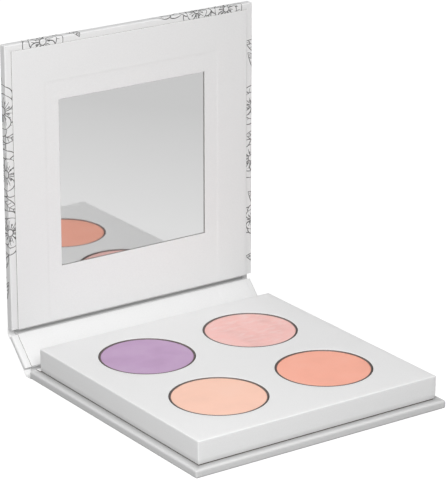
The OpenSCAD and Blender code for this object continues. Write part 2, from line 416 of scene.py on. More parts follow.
class Look:
    """A Principled material with helpers that wire procedural detail into it."""

    def __init__(self, name, colour, roughness, **sockets):
        self.material = bpy.data.materials.new(name)
        self.material.use_nodes = True
        self.tree = self.material.node_tree
        self.shader = self.tree.nodes["Principled BSDF"]
        self.shader.inputs["Base Color"].default_value = (*colour, 1)
        self.shader.inputs["Roughness"].default_value = roughness
        for socket, value in sockets.items():
            self.shader.inputs[socket.replace("_", " ")].default_value = value
        self.place = self.tree.nodes.new("ShaderNodeTexCoord").outputs["Object"]
        self.normal = None

    def axes(self):
        """The outputs X, Y and Z of the place."""
        split = self.node("SeparateXYZ")
        self.link(self.place, split.inputs["Vector"])
        return split.outputs

    def node(self, kind, **values):
        made = self.tree.nodes.new("ShaderNode" + kind)
        for socket, value in values.items():
            made.inputs[socket].default_value = value
        return made

    def link(self, source, target):
        self.tree.links.new(source, target)

    def grain(self, size, detail=3.0, stretch=(1, 1, 1)):
        """Noise from 0 to 1 whose features are about that many metres across."""
        mapping = self.node("Mapping", Scale=stretch)
        texture = self.node("TexNoise", Scale=1 / size, Detail=detail)
        self.link(self.place, mapping.inputs["Vector"])
        self.link(mapping.outputs["Vector"], texture.inputs["Vector"])
        return texture.outputs["Fac"]

    def cells(self, size):
        texture = self.node("TexVoronoi", Scale=1 / size)
        self.link(self.place, texture.inputs["Vector"])
        return texture.outputs["Distance"]

    def ramp(self, value, *stops):
        """Colour by value: stops are (position, colour) pairs."""
        ramp = self.node("ValToRGB")
        elements = ramp.color_ramp.elements
        while len(elements) < len(stops):
            elements.new(0.5)
        for element, (position, colour) in zip(elements, stops):
            element.position = position
            element.color = (*colour, 1)
        self.link(value, ramp.inputs["Fac"])
        return ramp.outputs["Color"]

    def blend(self, value, first, second):
        """Colours mixed by value."""
        mix = self.node("Mix")
        mix.data_type = "RGBA"
        self.link(value, mix.inputs[0])
        for socket, colour in ((mix.inputs[6], first), (mix.inputs[7], second)):
            if isinstance(colour, bpy.types.NodeSocket):
                self.link(colour, socket)
            else:
                socket.default_value = (*colour, 1)
        return mix.outputs[2]

    def map(self, value, from_low, from_high, low, high):
        mapped = self.node("MapRange")
        for socket, number in zip(mapped.inputs[1:5], (from_low, from_high, low, high)):
            socket.default_value = number
        self.link(value, mapped.inputs["Value"])
        return mapped.outputs["Result"]

    def math(self, operation, *sources):
        made = self.node("Math")
        made.operation = operation
        for source, socket in zip(sources, made.inputs):
            self.link(source, socket)
        return made.outputs["Value"]

    def colour(self, source):
        self.link(source, self.shader.inputs["Base Color"])

    def roughness(self, value, low, high):
        self.link(self.map(value, 0.25, 0.75, low, high), self.shader.inputs["Roughness"])

    def bump(self, value, height):
        """Relief of that height in metres. Several add up."""
        bump = self.node("Bump", Distance=height, Strength=1.0)
        self.link(value, bump.inputs["Height"])
        if self.normal:
            self.link(self.normal, bump.inputs["Normal"])
        self.normal = bump.outputs["Normal"]
        self.link(self.normal, self.shader.inputs["Normal"])


def grey(v):
    return (v, v, v)


def tray_foot_shade(look):
    """Painted contact shade: 1 at the foot of the tray's sides, fading upwards."""
    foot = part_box("tray_cover")[0].z
    return look.map(look.axes()["Z"], foot, foot + CONTACT_SHADE_REACH, 1, 0)


def tray_surround_shade(look):
    """Painted contact shade: 1 on the base's border beside the tray, fading outwards and down the
    base's sides.
    """
    side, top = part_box("tray_cover")[1].x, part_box("base_wrap")[1].z
    axes = look.axes()
    from_middle = look.math("MAXIMUM", *(look.math("ABSOLUTE", axes[axis]) for axis in "XY"))
    beside = look.map(from_middle, side, side + CONTACT_SHADE_REACH, 1, 0)
    return look.math("MULTIPLY", beside, look.map(axes["Z"], top / 2, top * 0.9, 0, 1))


def paper_look(name, tone, roughness, streak, painted_shade=None):
    """Smooth white paper: faint fibre mottling, fine tooth, and streaks of a given depth.
    Its optional last argument is a function of the look that gives where painted contact shade
    darkens the paper."""
    look = Look(name, grey(tone), roughness, Specular_IOR_Level=0.35)
    fibres = look.grain(0.35 * MM, 5.0)
    paper = look.ramp(fibres, (0.3, grey(tone * 0.965)), (0.7, grey(tone)))
    # the mask darkens the paper as painted contact shade
    look.colour(look.blend(painted_shade(look), paper, grey(tone * CONTACT_SHADE_TONE)) if painted_shade else paper)
    look.roughness(fibres, roughness - 0.06, roughness + 0.06)
    look.bump(look.grain(7 * MM, 2.0), 0.05 * MM)
    look.bump(look.grain(0.3 * MM, 4.0, (1, 1, 0.25)), streak)
    look.bump(look.grain(0.12 * MM, 3.0), 0.004 * MM)
    return look


def board_look(name, tone):
    """Grey chipboard: short fibres and darker flecks."""
    look = Look(name, (tone, tone * 0.96, tone * 0.9), 0.9, Specular_IOR_Level=0.2)
    fibres = look.grain(0.4 * MM, 6.0, (1, 1, 3))
    flecks = look.map(look.cells(0.9 * MM), 0.0, 0.25, 1.0, 0.0)
    base = look.ramp(
        fibres,
        (0.3, (tone * 0.8, tone * 0.76, tone * 0.7)),
        (0.7, (tone * 1.1, tone * 1.06, tone * 1.0)),
    )
    look.colour(look.blend(flecks, base, (tone * 0.45, tone * 0.42, tone * 0.38)))
    look.bump(fibres, 0.04 * MM)
    return look


def powder_look(name, colour, spread, pearl):
    """Pressed powder: fine grain, faint mottling, and pale pearl streaks where pearl is above 0."""
    look = Look(name, colour, 0.75, Specular_IOR_Level=0.3)
    deep = [c * (1 - spread) for c in colour]
    pale = [c + (1 - c) * spread for c in colour]
    clouds = look.grain(9 * MM, 2.0)
    base = look.ramp(clouds, (0.3, deep), (0.5, colour), (0.7, pale))
    if pearl:
        bright = [c + (1 - c) * pearl for c in colour]
        streaks = look.grain(1.5 * MM, 5.0, (0.5, 1, 1))
        patches = look.map(look.grain(7 * MM, 2.0), 0.35, 0.7, 0.2, 0.8)
        strength = look.math("MULTIPLY", look.map(streaks, 0.42, 0.72, 0.0, 1.0), patches)
        base = look.blend(strength, base, bright)
        sparkle = look.map(look.cells(0.3 * MM), 0.0, 0.3, 0.5 * pearl, 0.0)
        base = look.blend(sparkle, base, bright)
    speck = look.map(look.grain(0.22 * MM, 2.0), 0.3, 0.7, 0.0, 0.35)
    look.colour(look.blend(speck, base, deep))
    look.roughness(clouds, 0.65 - 0.2 * pearl, 0.8 - 0.2 * pearl)
    look.bump(look.grain(1.8 * MM, 3.0), 0.02 * MM)
    look.bump(look.grain(0.16 * MM, 4.0), 0.01 * MM)
    return look


def simple_look(name, colour, roughness, size, height, spread, metal):
    """A plain material with mottling of a given spread and a fine relief."""
    look = Look(name, colour, roughness, Metallic=metal)
    mottle = look.grain(size * MM, 4.0)
    dark = [c * (1 - spread) for c in colour]
    light = [min(1.0, c * (1 + spread)) for c in colour]
    look.colour(look.ramp(mottle, (0.3, dark), (0.7, light)))
    look.roughness(mottle, roughness * 0.85, min(1.0, roughness * 1.15))
    look.bump(mottle, height * MM)
    return look


COVER_LOOK = paper_look("cover_paper", 0.84, 0.5, 0.012 * MM)
# The base's cover paper is the lid's paper toned darker as painted shade, with painted contact shade
# beside the tray.
BASE_COVER_SHADED_LOOK = paper_look("base_cover_paper_shaded", 0.68, 0.5, 0.025 * MM, tray_surround_shade)
LINER_LOOK = paper_look("liner_card", 0.84, 0.5, 0.003 * MM)
# The crease liner is the liner's card toned darker as painted shade in the crease.
CREASE_SHADED_LOOK = paper_look("crease_paper_shaded", 0.6, 0.6, 0.006 * MM)
# The tray card darkens towards its foot as painted contact shade.
TRAY_LOOK = paper_look("tray_card", 0.86, 0.48, 0.003 * MM, tray_foot_shade)
BOARD_LOOK = board_look("greyboard", 0.36)

# Colour, roughness, grain size and relief in millimetres, spread of the tone, and metal share
SIMPLE_LOOKS = {
    "ink": (grey(0.09), 0.55, 0.5, 0.001, 0.25, 0.0),
    "spacer_foam": (grey(0.06), 0.9, 0.3, 0.05, 0.4, 0.0),
    "magnet_rubber": ((0.05, 0.045, 0.042), 0.7, 0.6, 0.01, 0.3, 0.0),
    "nickel": ((0.62, 0.6, 0.56), 0.22, 0.8, 0.002, 0.08, 1.0),
    "tinplate": ((0.5, 0.48, 0.46), 0.35, 0.5, 0.002, 0.1, 1.0),
    # The pans' rim band: dark as painted shade of the gap round each pan
    "pan_rim_painted_shade": ((0.19, 0.155, 0.145), 0.45, 0.5, 0.003, 0.2, 0.8),
    "tape": ((0.75, 0.72, 0.62), 0.6, 0.7, 0.006, 0.06, 0.0),
    "mirror_paint": ((0.16, 0.17, 0.19), 0.5, 0.9, 0.004, 0.15, 0.0),
    # Cut edges of card: their grey core, darkened further as painted shade of the gaps beside them
    "card_edge_and_shade": ((0.12, 0.105, 0.09), 0.9, 0.2, 0.01, 0.3, 0.0),
    "mirror": (grey(0.74), 0.03, 20, 0.0, 0.004, 1.0),
}
LOOKS = {name: simple_look(name, *values) for name, values in SIMPLE_LOOKS.items()}


# ---- Base, spine and lid ----

def bare_board(node, place, creases):
    """The rectangle of a board that no turned-in paper covers. It runs on past the creases."""
    low, high = span(node, place)
    near = low.y - TURN_IN if "low" in creases else low.y + TURN_IN
    far = high.y + TURN_IN if "high" in creases else high.y - TURN_IN
    return ((low.x + TURN_IN, near), (high.x - TURN_IN, far))


def window_of_lid():
    """The window's corners: the liner's inner outline."""
    low, high = span("lid_liner", LID)
    outline = ((low.x, low.y), (high.x, high.y))
    inner = [p for p in panel_points("lid_liner", LID) if inside(p, outline) > MM]
    return [[pick(p[axis] for p in inner) for axis in (0, 1)] for pick in (min, max)]


# Each body's panel: its frame, the ends that meet a crease, and its cover's look, rounding and seed
PANELS = {
    "base": (BASE, ["high"], BASE_COVER_SHADED_LOOK, BASE_ROUND, 11),
    "spine": (SPINE, ["low", "high"], COVER_LOOK, SPINE_ROUND, 23),
    "lid": (LID, ["low"], COVER_LOOK, EDGE_ROUND, 37),
}

SKINS = {}
for body, (place, creases, look, radius, seed) in PANELS.items():
    piece, SKINS[body] = cover(body + "_cover", body + "_wrap", place, look, radius, creases, seed)
    settle(piece, body, "cover_paper", body + "_wrap")
LID_SKIN = SKINS["lid"]

for body, (place, creases, *_) in PANELS.items():
    piece = card(
        body + "_liner_card", body + "_liner", place, LINER_LOOK,
        window=window_of_lid() if body == "lid" else None,
        bare=bare_board(body + "_wrap", place, creases),
        inset=LINER_INSET if body == "base" else 0.0,
    )
    facing = place.to_3x3() @ Vector((0, 0, 1))
    # The liner's cut edges are dark: card core, and painted shade of the gap along them.
    second_look(piece, LOOKS["card_edge_and_shade"], lambda face: abs(face.normal.dot(facing)) < 0.5)
    settle(piece, body, "liner_card", body + "_liner")


def rounded_board(name, node, place, radius):
    """A board whose edges are rounded to fit inside the rounded cover."""
    low, high = span(node, place)
    points, faces = box_grid(box_axes(low, high), lambda axis, far, centre: True)
    board = Skin(low, high, radius, [], 0)
    rounded = []
    for p in points:
        nearest = Vector([board.nearest(p, axis) for axis in range(3)])
        rounded.append(nearest + (p - nearest).normalized() * radius)
    return make(name, rounded, faces, BOARD_LOOK, place)


for body, place, radius in (("spine", SPINE, SPINE_ROUND), ("base", BASE, BASE_ROUND)):
    core = rounded_board(body + "_core", body + "_board", place, radius - PAPER)
    settle(core, body, "greyboard", body + "_board")

mirror = card("mirror_plate", "mirror_glass", LID, LOOKS["mirror"], radius=MIRROR_ROUND)
settle(mirror, "lid", "mirror_glass", "mirror_glass")


# ---- Creases ----

def bend(a, corner, b, radius):
    """Points and directions along a line from a to b, rounded at the corner."""
    into, out = (corner - a).normalized(), (b - corner).normalized()
    start, end = corner - into * radius, corner + out * radius
    steps, bends = 4, 10
    path = [(a.lerp(start, i / steps), into) for i in range(steps)]
    for i in range(bends + 1):
        t = i / bends
        point = (1 - t) ** 2 * start + 2 * t * (1 - t) * corner + t * t * end
        path.append((point, into.lerp(out, t).normalized()))
    path += [(end.lerp(b, (i + 1) / steps), out) for i in range(steps)]
    return path


def trough(a, out_a, b, out_b, depth):
    """Points and directions of a smooth trough from a to b, as the CAD liner has."""
    handle_a, handle_b = a + out_a * depth * 4 / 3, b + out_b * depth * 4 / 3
    steps, path = 28, []
    for i in range(steps + 1):
        t = i / steps
        u = 1 - t
        point = u ** 3 * a + 3 * u * u * t * handle_a + 3 * u * t * t * handle_b + t ** 3 * b
        way = u * u * (handle_a - a) + 2 * u * t * (handle_b - handle_a) + t * t * (b - handle_b)
        path.append((point, way.normalized()))
    return path


def sweep(name, outline, path, look):
    """An outline of (across, inward) points, carried along a path."""
    across = Vector((1, 0, 0))
    count = len(outline)
    points, faces = [], []
    for centre, way in path:
        inward = across.cross(way)
        points += [centre + across * x + inward * n for x, n in outline]
    for k in range(len(path) - 1):
        for i in range(count):
            j = (i + 1) % count
            here, there = k * count, (k + 1) * count
            faces.append([here + i, there + i, there + j, here + j])
    faces.append(list(range(count)))
    faces.append([(len(path) - 1) * count + i for i in reversed(range(count))])
    return make(name, points, faces, look)


def folded_paper(half):
    """Section of the cover paper at a crease: one layer, and two where its ends are turned in."""
    flap = half - TURN_IN
    turn = [(-math.cos(a), math.sin(a)) for a in (math.pi * k / 8 for k in range(9))]
    side = [(half - PAPER + PAPER * s, PAPER + PAPER * c) for c, s in turn]
    section = [*side, (flap, 2 * PAPER), (flap, PAPER)]
    mirrored = [(-x, n) for x, n in reversed(section)]
    return [*section, *mirrored]


def flat_card(half, thickness):
    """Section of a card whose middle line is at 0, with rounded ends."""
    r, divisions = thickness / 2, 20
    turn = [math.pi * k / 6 for k in range(7)]
    section = [(half - r + r * math.sin(a), -r * math.cos(a)) for a in turn]
    section += [(half - r - (2 * half - 2 * r) * i / divisions, r) for i in range(1, divisions)]
    return [*section, *((-x, -n) for x, n in section)]


def crease(name, low_body, high_body, corner):
    """The outer paper and the liner of one crease, both bending between two bodies."""
    low_place, high_place = PANELS[low_body][0], PANELS[high_body][0]
    low_in, high_in = [
        (place.to_3x3() @ Vector((0, 0, 1))).normalized() for place in (low_place, high_place)
    ]
    low_edge, high_edge = span(low_body + "_wrap", low_place), span(high_body + "_wrap", high_place)
    a = low_place @ Vector((0, low_edge[1].y, SKIN_DEPTH))
    b = high_place @ Vector((0, high_edge[0].y, SKIN_DEPTH))
    half_angle = low_in.angle(high_in) / 2
    apex = corner + (low_in + high_in).normalized() * SKIN_DEPTH / math.cos(half_angle)
    section = folded_paper(low_edge[1].x - SKIN_DEPTH)
    paper = sweep(name + "_paper", section, bend(a, apex, b, CREASE_ROUND), COVER_LOOK)
    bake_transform(paper)
    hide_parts(name + "_wrap")

    low_edge = span(low_body + "_liner", low_place)
    high_edge = span(high_body + "_liner", high_place)
    c = low_place @ Vector((0, low_edge[1].y + CREASE_GAP, (low_edge[0].z + low_edge[1].z) / 2))
    d = high_place @ Vector((0, high_edge[0].y - CREASE_GAP, (high_edge[0].z + high_edge[1].z) / 2))
    path = trough(c, -low_in, d, -high_in, CREASE_SAG)
    section = flat_card(low_edge[1].x, low_edge[1].z - low_edge[0].z)
    # The liner in the crease takes the darker paper, as painted shade.
    liner = sweep(name + "_card", section, path, CREASE_SHADED_LOOK)
    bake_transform(liner)
    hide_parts(name + "_liner")


crease("lower_crease", "base", "spine", LOWER)
crease("upper_crease", "spine", "lid", UPPER)


# ---- Tray ----

def well_centre(pan):
    low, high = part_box(pan)
    return (low + high) / 2


# Each pan's powder: the name of its slot and look, then its colour, spread and pearl
POWDERS = {
    "back_left": ("powder_lilac", (0.555, 0.37, 0.58), 0.08, 0.0),
    "back_right": ("powder_rose", (0.98, 0.57, 0.53), 0.10, 0.45),
    "front_left": ("powder_peach", (1.0, 0.63, 0.50), 0.04, 0.0),
    "front_right": ("powder_coral", (1.0, 0.465, 0.35), 0.05, 0.0),
}
CELL_SIDE = 24            # grid divisions along each side of a well's square
OUTWARD_SHARES = (0.15, 0.35, 0.6, 0.8, 1.0)   # places of the rings from a well to that square


def ring_pairs(points, faces, inner, outer, up=True):
    """Faces between two rings of the same number of points."""
    start = len(points)
    points.extend([*inner, *outer])
    count = len(inner)
    for i in range(count):
        j = (i + 1) % count
        face = [start + i, start + count + i, start + count + j, start + j]
        faces.append(face if up else face[::-1])


def quarter(centre, half, z):
    """Points round the quarter of a square that holds a well, from its far right corner."""
    (x0, x1), (y0, y1) = [sorted((0.0, math.copysign(half, c))) for c in centre.xy]
    corners = [Vector((x1, y1, z)), Vector((x0, y1, z)), Vector((x0, y0, z)), Vector((x1, y0, z))]
    return [
        corners[k].lerp(corners[(k + 1) % 4], i / CELL_SIDE)
        for k in range(4) for i in range(CELL_SIDE)
    ]


def circle(centre, radius, z, count=4 * CELL_SIDE, turn=math.pi / 4):
    """Points round a circle. They start at the angle turn."""
    angles = [turn + 2 * math.pi * i / count for i in range(count)]
    return [
        Vector((centre.x + radius * math.cos(a), centre.y + radius * math.sin(a), z))
        for a in angles
    ]


def square_path(half):
    """(point, outward direction) round a square, with a fan of directions at each corner."""
    def turned(quarters, x, y):
        return Matrix.Rotation(quarters * math.pi / 2, 3, "Z") @ Vector((x, y, 0))

    fan, path = 5, []
    for k in range(4):
        start, end = turned(k, half, half), turned(k + 1, half, half)
        before, out = turned(k, 1, 0), turned(k + 1, 1, 0)
        path += [(start, before.slerp(out, i / fan)) for i in range(fan)]
        path += [(start.lerp(end, i / (2 * CELL_SIDE)), out) for i in range(2 * CELL_SIDE + 1)]
    return path


def tray_card():
    """The tray's folded card: a top with four wells, rounded folds and thin sides."""
    low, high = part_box("tray_cover")
    top, foot, half = high.z, low.z + TRAY_LIFT, high.x
    flat, inner_half, inner_top = half - TRAY_ROUND, half - CARD, top - CARD
    cad_face = [v.co for v in frame["nodes"]["tray_cover"].data.vertices if v.co.z > top - TOP_BAND]
    points, faces, wall, wall_faces = [], [], [], []
    for name in POWDERS:
        centre = well_centre("pan_" + name)
        radius = min((p - centre).xy.length for p in cad_face)
        bottom = circle(centre, radius, inner_top)
        ring_pairs(wall, wall_faces, bottom, circle(centre, radius, top - LIP_ROUND))
        rings = []
        for k in range(5):
            a = math.pi / 2 * k / 4
            rings.append(circle(
                centre, radius + LIP_ROUND * (1 - math.cos(a)), top - LIP_ROUND * (1 - math.sin(a))
            ))
        lip, edge = rings[-1], quarter(centre, flat, top)
        rings += [[p.lerp(q, t) for p, q in zip(lip, edge)] for t in OUTWARD_SHARES]
        for inner, outer in zip(rings, rings[1:]):
            ring_pairs(points, faces, inner, outer)
        ring_pairs(points, faces, bottom, quarter(centre, inner_half, inner_top), up=False)
    outer_path, inner_path = square_path(flat), square_path(inner_half)
    rows = []
    for k in range(7):
        a = math.pi / 2 * k / 6
        z = top - TRAY_ROUND * (1 - math.cos(a))
        rows.append([p + d * TRAY_ROUND * math.sin(a) + Vector((0, 0, z)) for p, d in outer_path])
    side = rows[-1]
    for k in range(7):
        t = k / 6
        z = foot + TUCK_HEIGHT * (1 - t)
        rows.append([
            Vector((p.x, p.y, z)) - d * TRAY_TUCK * t * t for p, (_, d) in zip(side, outer_path)
        ])
    rows.append([p + Vector((0, 0, foot)) for p, _ in inner_path])
    rows.append([p + Vector((0, 0, inner_top)) for p, _ in inner_path])
    for upper, lower in zip(rows, rows[1:]):
        ring_pairs(points, faces, upper, lower)
    all_faces = [*wall_faces, *([i + len(wall) for i in f] for f in faces)]
    piece = make("tray_card", [*wall, *points], all_faces, TRAY_LOOK)
    # The wells' walls are dark: card core, and painted shade down in the wells.
    second_look(piece, LOOKS["card_edge_and_shade"], lambda face: face.index < len(wall_faces))
    return piece


settle(tray_card(), "base", "tray_card", "tray_cover")


# ---- Pans and powder ----

def lathe(name, centre, profile, look, relief=None, count=96):
    """A solid of revolution: profile runs from the axis at the bottom to the axis at the top."""
    points, faces = [], []
    for r, z in profile:
        for p in circle(centre, r, z, count, turn=0.0):
            if relief:
                p.z += relief(p, r)
            points.append(p)
    for k in range(len(profile) - 1):
        for i in range(count):
            j = (i + 1) % count
            here, there = k * count, (k + 1) * count
            faces.append([here + i, here + j, there + j, there + i])
    return make(name, points, faces, look)


def arc(centre_r, centre_z, radius, start, end, steps):
    """Profile points round an arc, angles in degrees from outward towards up."""
    angles = [math.radians(start + (end - start) * i / steps) for i in range(steps + 1)]
    return [(centre_r + radius * math.cos(a), centre_z + radius * math.sin(a)) for a in angles]


def pan(side):
    """Drawn tinplate pan: rounded corner, thin wall, rounded rim and a ring pressed in its floor."""
    low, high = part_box("pan_" + side)
    inner_low, inner_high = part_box("powder_" + side)
    radius = (high.x - low.x) / 2
    inner = (inner_high.x - inner_low.x) / 2
    floor, wall = inner_low.z, radius - inner
    lip = min(PAN_LIP, wall / 2)
    ring, ring_top = radius * RING_SHARE, low.z + RING_DEPTH
    profile = [(0, low.z), (ring - RING_FOOT, low.z), (ring - RING_TOP, ring_top)]
    profile += [(ring + RING_TOP, ring_top), (ring + RING_FOOT, low.z)]
    profile += arc(radius - PAN_CORNER, low.z + PAN_CORNER, PAN_CORNER, -90, 0, 8)
    profile += [(radius, high.z - FLARE_HEIGHT)]
    profile += arc(radius + PAN_FLARE - lip, high.z - lip, lip, 0, 90, 4)
    profile += arc(inner + lip, high.z - lip, lip, 90, 180, 4)
    profile += [(inner, floor), (0, floor)]
    piece = lathe("pan_" + side + "_tin", well_centre("pan_" + side), profile, LOOKS["tinplate"])
    # The top of the pan is darkened as painted shade of the gap round it.
    second_look(piece, LOOKS["pan_rim_painted_shade"], lambda face: face.center.z > high.z - SHADED_RIM_HEIGHT)
    settle(piece, side + "_pan", "pan_tinplate", "pan_" + side)


def powder(side, look, slot):
    """Pressed cake: bevelled edge, and a face that isn't quite even."""
    low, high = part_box("powder_" + side)
    radius, face = (high.x - low.x) / 2, high.z - POWDER_SINK
    flat = radius - POWDER_BEVEL
    profile = [(0, low.z), (radius, low.z)]
    profile += arc(flat, face - POWDER_BEVEL, POWDER_BEVEL, 0, 90, 5)
    profile += [(flat * (1 - i / POWDER_RINGS), face) for i in range(1, POWDER_RINGS + 1)]

    def relief(p, r):
        if p.z < face - 1e-9:
            return 0.0
        waves = SWELL * rough(p, SWELL_SIZE) + PITTING * rough(p, PITTING_SIZE)
        return -waves * smooth((flat - r) / EVEN_RIM)

    piece = lathe("powder_" + side + "_cake", well_centre("pan_" + side), profile, look, relief)
    settle(piece, side + "_pan", slot, "powder_" + side)


for side, (slot, *tones) in POWDERS.items():
    pan(side)
    powder(side, powder_look(slot, *tones), slot)


# ---- Plain looks for the CAD pieces that stay ----

for node, look in {
    "tray_frame": BOARD_LOOK, "tray_floor": BOARD_LOOK,
    "lid_back_board": BOARD_LOOK, "lid_front_board": BOARD_LOOK,
    "magnet_sheet": LOOKS["magnet_rubber"], "well_spacer": LOOKS["spacer_foam"],
    "tray_magnets": LOOKS["nickel"], "lid_magnets": LOOKS["nickel"],
    "mirror_backing": LOOKS["mirror_paint"], "mirror_tape": LOOKS["tape"],
}.items():
    mesh = frame["nodes"][node].data
    mesh.materials.clear()
    mesh.materials.append(look.material)


# ---- Printed line art on the lid ----

def polar(x, y, reach, heading):
    return (x + reach * math.cos(heading), y + reach * math.sin(heading))


class Drawing:
    """Shapes drawn one over another. A shape with an outline hides what lies under it."""

    def __init__(self, seed):
        self.shapes = []
        self.random = random.Random(seed)

    def add(self, outline, strokes):
        xs, ys = [p[0] for p in outline], [p[1] for p in outline]
        box = (min(xs), max(xs), min(ys), max(ys)) if outline else None
        self.shapes.append((outline, box, strokes))

    def hidden(self, point, above):
        """Whether the point lies inside an outline that was added after that shape."""
        x, y = point
        for outline, box, _ in self.shapes[above + 1:]:
            if not outline or not (box[0] < x < box[1] and box[2] < y < box[3]):
                continue
            odd = False
            for k, (x1, y1) in enumerate(outline):
                x0, y0 = outline[k - 1]
                if (y0 > y) != (y1 > y) and x < (x1 - x0) * (y - y0) / (y1 - y0) + x0:
                    odd = not odd
            if odd:
                return True
        return False

    def two_sided(self, at, steps, lines):
        """A shape between the sides at(t, 1) and at(t, -1), with lines inside it."""
        left, right = [[at(i / steps, side) for i in range(steps + 1)] for side in (1, -1)]
        self.add([*left, *right[::-1]], [left, right, *lines])

    def leaf(self, x, y, heading, length, width):
        """A pointed leaf: two edges, a midrib and side veins."""
        bow = self.random.uniform(-0.18, 0.18) * length
        c, s = math.cos(heading), math.sin(heading)

        def at(t, side):
            along = t * length
            half = side * width / 2 * math.sin(math.pi * t ** 0.85) ** 0.9
            off = half + bow * t * t
            return (x + along * c - off * s, y + along * s + off * c)

        steps = 16
        lines = [[at(i / steps, 0) for i in range(steps)]]
        for k in range(1, 5):
            t = 0.12 + 0.16 * k
            for side in (-1, 1):
                lines.append([at(t, 0), at(t + 0.06, side * 0.4), at(t + 0.13, side * 0.82)])
        self.two_sided(at, steps, lines)

    def petal(self, x, y, heading, length, width):
        """A broad petal with a waved tip and short folds from its base."""
        c, s = math.cos(heading), math.sin(heading)
        notch = self.random.uniform(0.04, 0.1)

        def at(t, side):
            turn = math.pi * t
            along = length * (0.12 + 0.88 * (1 - math.cos(turn)) / 2)
            along -= length * notch * max(0.0, 1 - abs(side)) if t > 0.9 else 0
            half = side * width / 2 * math.sin(turn ** 1.15 / math.pi ** 0.15)
            return (x + along * c - half * s, y + along * s + half * c)

        folds = []
        for k in (-0.45, 0.0, 0.45):
            reach = self.random.uniform(0.45, 0.68)
            folds.append([at(0.08 + reach * i / 6, k * (0.5 + 0.5 * i / 6)) for i in range(7)])
        self.two_sided(at, 18, folds)

    def bloom(self, x, y, radius):
        """An open flower: two rows of petals, a round centre and stamens."""
        turn = self.random.uniform(0, 2 * math.pi)
        count = 5
        for row in (0, 1):
            reach = radius * (1.0 - 0.32 * row)
            for k in range(count):
                heading = turn + 2 * math.pi * (k + 0.5 * row) / count
                heading += self.random.uniform(-0.08, 0.08)
                self.petal(x, y, heading, reach, reach * 1.12)
        ring = [2 * math.pi * k / 18 for k in range(19)]
        disc = [polar(x, y, radius * 0.16, a) for a in ring]
        stamens = []
        for k in range(9):
            a = turn + 2 * math.pi * k / 9
            reach = radius * self.random.uniform(0.3, 0.4)
            tip = polar(x, y, reach, a)
            stamens.append([polar(x, y, radius * 0.2, a), tip])
            stamens.append([polar(*tip, radius * 0.035, b) for b in ring[::3]])
        self.add(disc, [disc, *stamens])

    def bud(self, x, y, heading, length):
        """A closed bud: three narrow petals in a cup."""
        for offset, share in ((-0.35, 0.85), (0.35, 0.85), (0.0, 1.0)):
            self.leaf(x, y, heading + offset, length * share, length * 0.42)

    def spray(self, x, y, heading, size):
        """A curved stem with leaves, a bud on a side stalk, and a bloom at its end."""
        bow = self.random.uniform(-0.5, 0.5)
        length, steps = 2.2 * size, 24
        stem, ways = [(x, y)], [heading]
        for i in range(steps):
            way = heading + bow * (i + 1) / steps
            stem.append(polar(*stem[-1], length / steps, way))
            ways.append(way)
        self.add([], [stem])
        for k, i in enumerate((5, 9, 13, 17)):
            side = 1 if k % 2 else -1
            lean = ways[i] + side * self.random.uniform(0.7, 1.0)
            self.leaf(*stem[i], lean, size * self.random.uniform(0.7, 0.95), size * 0.36)
        lean = ways[11] + self.random.choice((-0.6, 0.6))
        stalk = [polar(*stem[11], size * t, lean) for t in (0, 0.2, 0.4, 0.6, 0.8)]
        self.add([], [stalk])
        self.bud(*stalk[-1], lean, size * 0.5)
        self.bloom(*stem[-1], size * 0.62)


# Places on the unfolded cover sheet, in millimetres: across, along, then for sprays and leaves the
# heading in degrees. A spray and a bloom end with their size, a leaf with its length and width.
SPRAYS = (
    (-22, 22, 128, 12), (-28, 50, 112, 11), (-12, 58, 122, 11), (-2, 12, 75, 12), (8, 58, 66, 11),
    (24, 8, 62, 11), (-6, 36, 105, 10), (12, 34, 95, 10), (-34, 6, 100, 9), (24, 38, 70, 9),
)
LEAVES = (
    (-38, 52, 130, 9, 4), (-38, 46, 160, 9, 4), (-38, 34, 140, 9, 4), (-36, 22, 150, 12, 4),
    (-40, 60, 200, 7, 4), (-39, 8, 105, 9, 3), (-38, 70, 170, 9, 4), (-34, 80, 75, 10, 4),
    (-27, 80, 110, 10, 4), (-20, 82, 70, 7, 3), (-40, 41, 215, 8, 4), (18, 80, 60, 10, 4),
    (26, 78, 95, 11, 4), (33, 80, 65, 10, 4), (38, 70, 20, 9, 4), (38, 63, 35, 10, 4),
    (38, 58, 60, 9, 3), (39, 48, 50, 8, 4), (38, 44, 10, 8, 4), (38, 34, 55, 10, 4),
    (38, 22, 30, 9, 4), (38, 16, 60, 9, 4), (39, 6, 20, 7, 3),
)
BLOOMS = (
    (-42, 66, 7.5), (-43, 48, 7), (-44, 31, 6.5), (-29, 88, 6.5), (22, 87, 5), (32, 88, 5.5),
    (43.5, 54, 6), (44, 38, 6), (43.5, 19, 4.5),
)


def unfold(u, v):
    """A point of the flat cover sheet, on the sharp box that it is folded round, or None."""
    low, high = LID_SKIN.low, LID_SKIN.high
    deep = high.z - low.z
    side, above = abs(u) - high.x, v - high.y
    tucked = INK_TUCK + deep
    if v < low.y + INK_START or max(side, above) > tucked or (side > 0 and above > 0):
        return None
    if side > 0:
        u = math.copysign(high.x - max(0.0, side - deep), u)
    if above > 0:
        v = high.y - max(0.0, above - deep)
    return Vector((u, v, low.z + min(deep, max(0.0, side, above))))


def resample(stroke):
    """The stroke as short even steps, shorter near the folds."""
    fold_x, fold_y = LID_SKIN.high.xy
    points = []
    for (x0, y0), (x1, y1) in zip(stroke, stroke[1:]):
        near = min(abs(abs(x0) - fold_x), abs(y0 - fold_y)) < FOLD_REACH
        step = FOLD_STEP if near else INK_STEP
        count = max(1, math.ceil(math.dist((x0, y0), (x1, y1)) / step))
        points += [(x0 + (x1 - x0) * i / count, y0 + (y1 - y0) * i / count) for i in range(count)]
    return [*points, stroke[-1]]


